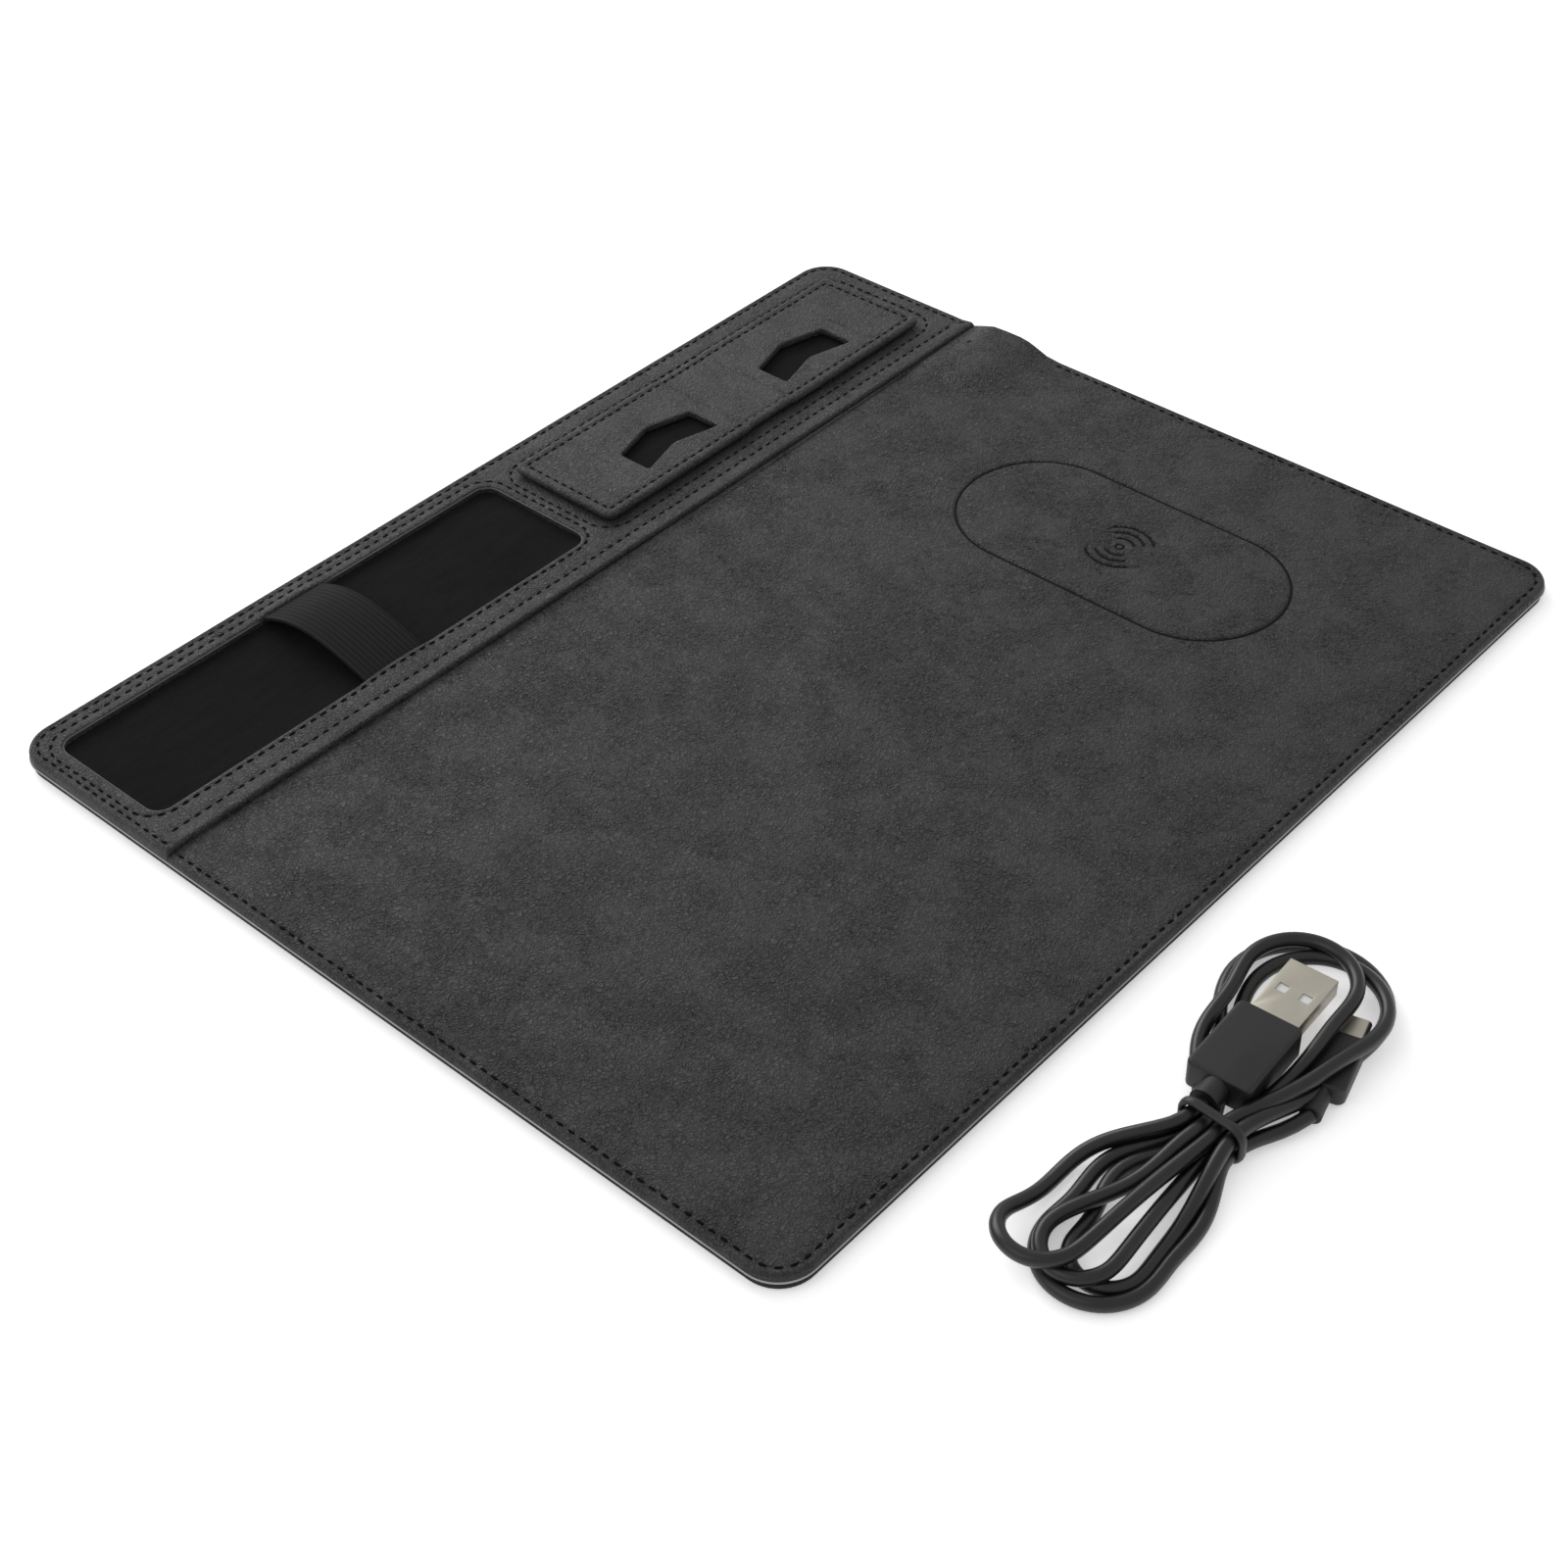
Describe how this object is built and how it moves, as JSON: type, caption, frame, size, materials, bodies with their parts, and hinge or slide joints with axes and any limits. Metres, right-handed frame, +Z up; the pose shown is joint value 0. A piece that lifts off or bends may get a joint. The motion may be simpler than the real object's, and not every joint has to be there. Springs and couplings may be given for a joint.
{
  "type": "wireless charging desk mat",
  "caption": "Flat leather desk mat with an embossed wireless charging zone, a lined pen tray with an elastic loop, a fold-up phone stand and a tied USB cable.",
  "frame": {"origin": "centre of the mat's underside, on the desk", "axes": "+X along the accessory strip from the pen tray to the phone stand and the USB port, +Y from the user's edge to the strip, +Z up"},
  "size_m": [0.31, 0.316, 0.0114],
  "materials": {
    "underside": "matt non-slip sheet",
    "stiff_board": "pressed fibre board",
    "mouse_leather": "semi-matt black leather grain",
    "strip_leather": "semi-matt black leather grain",
    "suede": "matt black microsuede",
    "elastic": "ribbed black elastic webbing",
    "steel": "plain steel strip",
    "magnet": "nickel plate",
    "case_plastic": "moulded, natural white",
    "housing_plastic": "moulded black",
    "ferrite": "dark grey ferrite",
    "copper": "enamelled copper winding",
    "circuit": "green solder mask",
    "chip": "moulded epoxy",
    "lead_red": "insulated wire",
    "connector_metal": "satin nickel-plated steel",
    "insert_plastic": "white connector insert",
    "cable_jacket": "satin black jacket",
    "plug_grip": "satin black overmould",
    "tie_band": "soft black band",
    "light_pipe": "clear light pipe"
  },
  "bodies": {
    "mat": {"base_sheet": "underside", "lower_board": "stiff_board", "upper_board": "stiff_board", "mouse_cover": "mouse_leather", "strip_cover": "strip_leather", "tray_frame": "stiff_board", "tray_lining": "suede", "pen_loop": "elastic", "stand_lining": "suede", "stand_keepers": "steel", "stand_centre": "strip_leather", "stand_centre_board": "stiff_board", "charger_case": "case_plastic", "charger_lid": "case_plastic", "ferrite_sheet": "ferrite", "charging_coil": "copper", "control_board": "circuit", "board_chips": "chip", "coil_leads": "copper", "power_leads": "lead_red", "port_housing": "housing_plastic", "port_board": "circuit", "port_shell": "connector_metal", "port_tongue": "chip", "light_pipe": "light_pipe"},
    "left_inner": {"left_inner_panel": "strip_leather", "left_inner_board": "stiff_board"},
    "left_outer": {"left_outer_panel": "strip_leather", "left_outer_board": "stiff_board"},
    "left_tab": {"left_end_tab": "strip_leather", "left_tab_board": "stiff_board", "left_tab_magnets": "magnet"},
    "right_inner": {"right_inner_panel": "strip_leather", "right_inner_board": "stiff_board"},
    "right_outer": {"right_outer_panel": "strip_leather", "right_outer_board": "stiff_board"},
    "right_tab": {"right_end_tab": "strip_leather", "right_tab_board": "stiff_board", "right_tab_magnets": "magnet"},
    "cable": {"cable_hank": "cable_jacket", "cable_tie": "tie_band", "usb_a_shell": "connector_metal", "usb_a_insert": "insert_plastic", "usb_a_grip": "plug_grip", "usb_a_relief": "plug_grip", "usb_c_shell": "connector_metal", "usb_c_grip": "plug_grip", "usb_c_relief": "plug_grip"}
  },
  "joints": [
    {"name": "left_fold", "type": "hinge", "parent": "mat", "child": "left_inner", "pos_m": [0.0665, 0.0993, 0.0088], "axis": [0, 1, 0], "range_deg": [0, 60]},
    {"name": "left_ridge", "type": "hinge", "parent": "left_inner", "child": "left_outer", "pos_m": [0.04675, 0.0993, 0.0064], "axis": [0, 1, 0], "range_deg": [-120, 0]},
    {"name": "left_tab_fold", "type": "hinge", "parent": "left_outer", "child": "left_tab", "pos_m": [0.027, 0.0993, 0.0088], "axis": [0, 1, 0], "range_deg": [0, 60]},
    {"name": "right_fold", "type": "hinge", "parent": "mat", "child": "right_inner", "pos_m": [0.0855, 0.0993, 0.0088], "axis": [0, -1, 0], "range_deg": [0, 60]},
    {"name": "right_ridge", "type": "hinge", "parent": "right_inner", "child": "right_outer", "pos_m": [0.10525, 0.0993, 0.0064], "axis": [0, -1, 0], "range_deg": [-120, 0]},
    {"name": "right_tab_fold", "type": "hinge", "parent": "right_outer", "child": "right_tab", "pos_m": [0.125, 0.0993, 0.0088], "axis": [0, -1, 0], "range_deg": [0, 60]},
    {"name": "cable_lift", "type": "slide", "parent": "mat", "child": "cable", "axis": [0, 0, 1], "range_m": [0, 0.05]}
  ],
  "couplings": [
    {"joint": "left_ridge", "follows": "left_fold", "ratio": -2},
    {"joint": "left_tab_fold", "follows": "left_fold", "ratio": 1},
    {"joint": "right_ridge", "follows": "right_fold", "ratio": -2},
    {"joint": "right_tab_fold", "follows": "right_fold", "ratio": 1}
  ]
}
